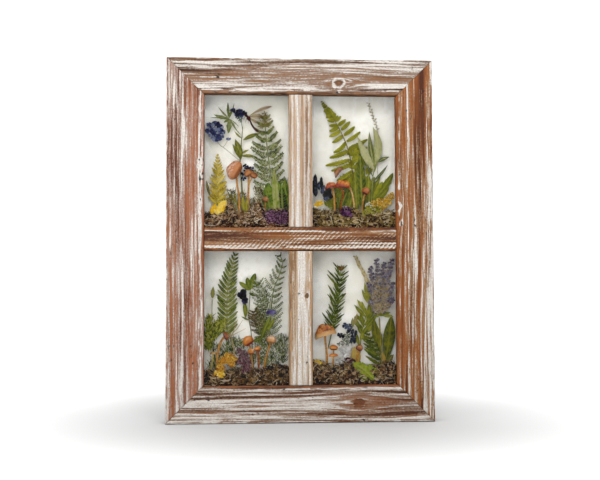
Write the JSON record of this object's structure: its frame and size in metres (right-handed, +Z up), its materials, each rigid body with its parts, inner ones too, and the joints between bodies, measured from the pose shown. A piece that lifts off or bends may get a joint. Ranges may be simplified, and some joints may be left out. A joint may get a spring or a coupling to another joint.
{
  "type": "framed botanical resin panel",
  "caption": "Limed wood window frame with clear resin castings that hold pressed ferns, flowers, small mushrooms and an insect above moss, on a pale backing board.",
  "frame": {"origin": "middle of the bottom face of the bottom rail", "axes": "+Z up the panel, -Y out of its front face towards the viewer, +X to the viewer's right"},
  "size_m": [0.283, 0.032, 0.385],
  "materials": {
    "limed_wood": "matte",
    "backing": "matte",
    "clear_resin": "gloss",
    "moss": "matte",
    "fern_green": "matte",
    "dark_green": "matte",
    "grey_green": "matte",
    "yellow_leaf": "matte",
    "blue_petal": "matte",
    "purple_petal": "matte",
    "golden_petal": "matte",
    "straw": "matte",
    "mushroom": "satin",
    "pale_mushroom": "satin",
    "insect": "satin"
  },
  "bodies": {
    "root": {"top_rail": "limed_wood", "bottom_rail": "limed_wood", "left_stile": "limed_wood", "right_stile": "limed_wood", "cross_bar": "limed_wood", "upper_mullion": "limed_wood", "lower_mullion": "limed_wood", "backing_board": "backing", "ul_casting_front": "clear_resin", "ul_casting_back": "clear_resin", "ur_casting_front": "clear_resin", "ur_casting_back": "clear_resin", "ll_casting_front": "clear_resin", "ll_casting_back": "clear_resin", "lr_casting_front": "clear_resin", "lr_casting_back": "clear_resin", "ul_moss_bed": "moss", "ur_moss_bed": "moss", "ll_moss_bed": "moss", "lr_moss_bed": "moss", "ul_palmate_sprig": "fern_green", "ul_leafy_stem": "fern_green", "ur_fern_frond": "fern_green", "ur_lance_leaves": "fern_green", "ur_fern_leaf": "fern_green", "ll_side_blades": "fern_green", "ll_flowering_twig": "fern_green", "lr_olive_sprig": "fern_green", "lr_lobed_leaf": "fern_green", "ul_broad_blades": "dark_green", "ur_broad_blades": "dark_green", "ll_fern_frond": "dark_green", "lr_yew_sprig": "dark_green", "lr_broad_leaf": "dark_green", "lr_fern_leaf": "dark_green", "ul_feathery_spray": "grey_green", "ll_feathery_spray": "grey_green", "ul_yellow_fern": "yellow_leaf", "ul_larkspur": "blue_petal", "ul_dark_blossom": "blue_petal", "lr_dark_flower": "blue_petal", "ul_statice": "purple_petal", "ll_purple_flower": "purple_petal", "lr_lavender": "purple_petal", "ur_yarrow": "golden_petal", "ll_yarrow": "golden_petal", "ur_grass_spike": "straw", "lr_grass_spike": "straw", "ul_large_mushroom": "mushroom", "ul_slender_mushroom": "mushroom", "ur_mushroom_tuft": "mushroom", "ur_round_mushroom": "mushroom", "ll_hooked_mushroom": "mushroom", "ll_orange_tuft": "mushroom", "lr_large_mushroom": "mushroom", "lr_round_mushroom": "mushroom", "ur_curled_cap": "pale_mushroom", "ll_pale_mushroom": "pale_mushroom", "ll_peach_mushroom": "pale_mushroom", "ul_winged_insect": "insect"}
  },
  "joints": []
}
